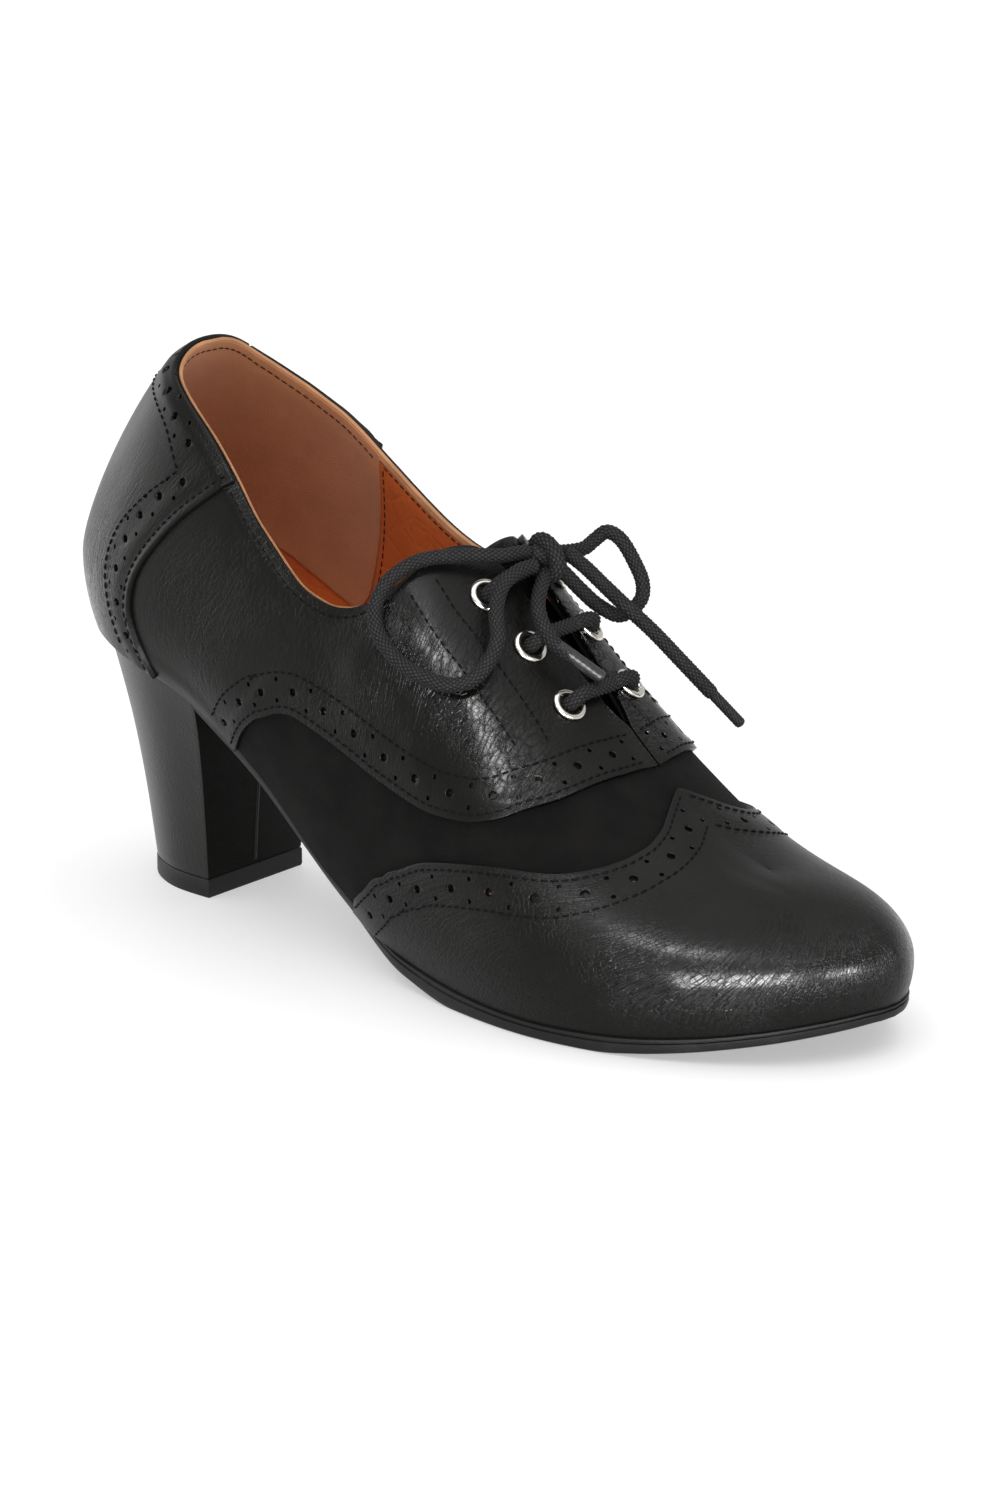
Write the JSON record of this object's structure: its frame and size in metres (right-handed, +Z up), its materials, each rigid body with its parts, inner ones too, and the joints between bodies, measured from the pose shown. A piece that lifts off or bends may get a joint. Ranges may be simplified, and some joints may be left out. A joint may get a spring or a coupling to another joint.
{
  "type": "heeled brogue lace-up shoe",
  "caption": "Low-cut heeled brogue lace-up for the right foot, with winged toe cap, counter, quarters, tongue, bow-tied round lace, thin sole and tapered block heel.",
  "frame": {"origin": "centre of the bounding box in plan, at floor level under the heel and the ball of the foot", "axes": "+X from heel to toe, +Y towards the inner side of the foot, +Z up"},
  "size_m": [0.2533, 0.089, 0.1464],
  "materials": {
    "leather": "glossy black, fine crackle grain",
    "suede": "matt black suede",
    "lining": "smooth orange-brown lining leather",
    "rubber": "black, satin",
    "nickel": "bright nickel",
    "cord": "charcoal braided waxed cord",
    "clear_tip": "clear shrunk plastic over cord"
  },
  "bodies": {
    "root": {"upper": "suede", "insole": "lining", "outsole": "rubber", "heel_block": "leather", "heel_top_piece": "rubber", "wing_cap": "leather", "counter": "leather", "quarter_outer": "leather", "quarter_inner": "leather", "tongue": "leather", "eyelet_outer_1": "nickel", "eyelet_outer_2": "nickel", "eyelet_outer_3": "nickel", "eyelet_inner_1": "nickel", "eyelet_inner_2": "nickel", "eyelet_inner_3": "nickel", "lace_bar_1": "cord", "lace_bar_2": "cord", "lace_bar_3": "cord", "lace_knot": "cord", "lace_loop_outer": "cord", "lace_loop_inner": "cord", "lace_end_long": "cord", "lace_end_short": "cord", "lace_tip_long": "cord", "lace_tip_short": "clear_tip"}
  },
  "joints": []
}
